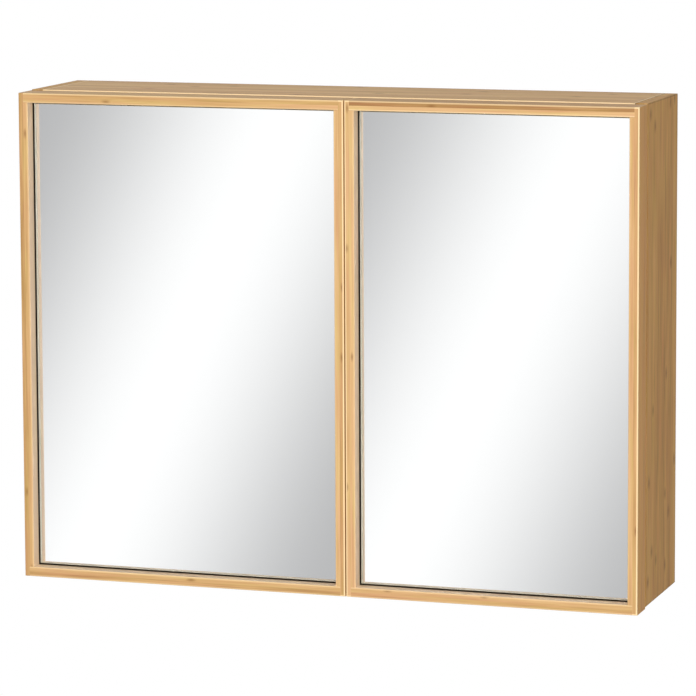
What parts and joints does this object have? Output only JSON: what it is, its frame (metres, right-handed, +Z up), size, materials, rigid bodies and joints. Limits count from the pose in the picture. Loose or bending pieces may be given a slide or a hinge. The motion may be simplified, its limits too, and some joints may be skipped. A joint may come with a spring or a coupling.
{
  "type": "mirror cabinet",
  "caption": "Wall-hung mirror cabinet of light bamboo with two full-overlay framed mirror doors of unequal width that swing open on concealed hinges.",
  "frame": {"origin": "on the wall plane, midway between the two holes for the wall screws in the hanging rail", "axes": "+X to the right as seen from the front, +Y into the wall, +Z up"},
  "size_m": [0.78, 0.19, 0.6015],
  "materials": {
    "bamboo_panel": "satin clear lacquer over side-pressed bamboo strips",
    "bamboo_frame": "satin clear lacquer over side-pressed bamboo strips",
    "bamboo_shelf": "satin clear lacquer",
    "bamboo_board": "satin clear lacquer",
    "bamboo_ply": "thin sealed veneer",
    "bamboo_rail": "sanded",
    "beech_dowel": "turned and dry",
    "mirror_glass": "polished float glass silvered on the back",
    "foam_tape": "matt foam",
    "soft_pad": "clear soft plastic",
    "nickel_hinge": "nickel plated pressed steel",
    "hinge_pin_steel": "drawn wire",
    "zinc_screw": "bright zinc plated",
    "zinc_pin": "bright zinc plated"
  },
  "bodies": {
    "cabinet": {"back_panel": "bamboo_ply", "bottom_panel": "bamboo_panel", "carcass_dowels": "beech_dowel", "divider_panel": "bamboo_panel", "hanging_rail": "bamboo_rail", "left_arm_screws": "zinc_screw", "left_hinge_arms": "nickel_hinge", "left_hinge_plates": "nickel_hinge", "left_plate_screws": "zinc_screw", "left_shelf_lower": "bamboo_shelf", "left_shelf_upper": "bamboo_shelf", "lower_wall_rail": "bamboo_rail", "right_arm_screws": "zinc_screw", "right_hinge_arms": "nickel_hinge", "right_hinge_plates": "nickel_hinge", "right_plate_screws": "zinc_screw", "right_shelf_lower": "bamboo_shelf", "right_shelf_upper": "bamboo_shelf", "shelf_pins": "zinc_pin", "side_panel_left": "bamboo_panel", "side_panel_right": "bamboo_panel", "top_panel": "bamboo_panel"},
    "left_door": {"left_backing_board": "bamboo_board", "left_bottom_rail": "bamboo_frame", "left_bumper_pads": "soft_pad", "left_cup_screws": "zinc_screw", "left_hinge_cups": "nickel_hinge", "left_hinge_pins": "hinge_pin_steel", "left_hinge_stile": "bamboo_frame", "left_meeting_stile": "bamboo_frame", "left_mirror_glass": "mirror_glass", "left_mirror_tape": "foam_tape", "left_top_rail": "bamboo_frame"},
    "right_door": {"right_backing_board": "bamboo_board", "right_bottom_rail": "bamboo_frame", "right_bumper_pads": "soft_pad", "right_cup_screws": "zinc_screw", "right_hinge_cups": "nickel_hinge", "right_hinge_pins": "hinge_pin_steel", "right_hinge_stile": "bamboo_frame", "right_meeting_stile": "bamboo_frame", "right_mirror_glass": "mirror_glass", "right_mirror_tape": "foam_tape", "right_top_rail": "bamboo_frame"}
  },
  "joints": [
    {"name": "left_door_hinge", "type": "hinge", "parent": "cabinet", "child": "left_door", "pos_m": [-0.3835, -0.1595, -0.249], "axis": [0, 0, -1], "range_deg": [0, 95]},
    {"name": "right_door_hinge", "type": "hinge", "parent": "cabinet", "child": "right_door", "pos_m": [0.3835, -0.1595, -0.249], "axis": [0, 0, 1], "range_deg": [0, 95]}
  ]
}
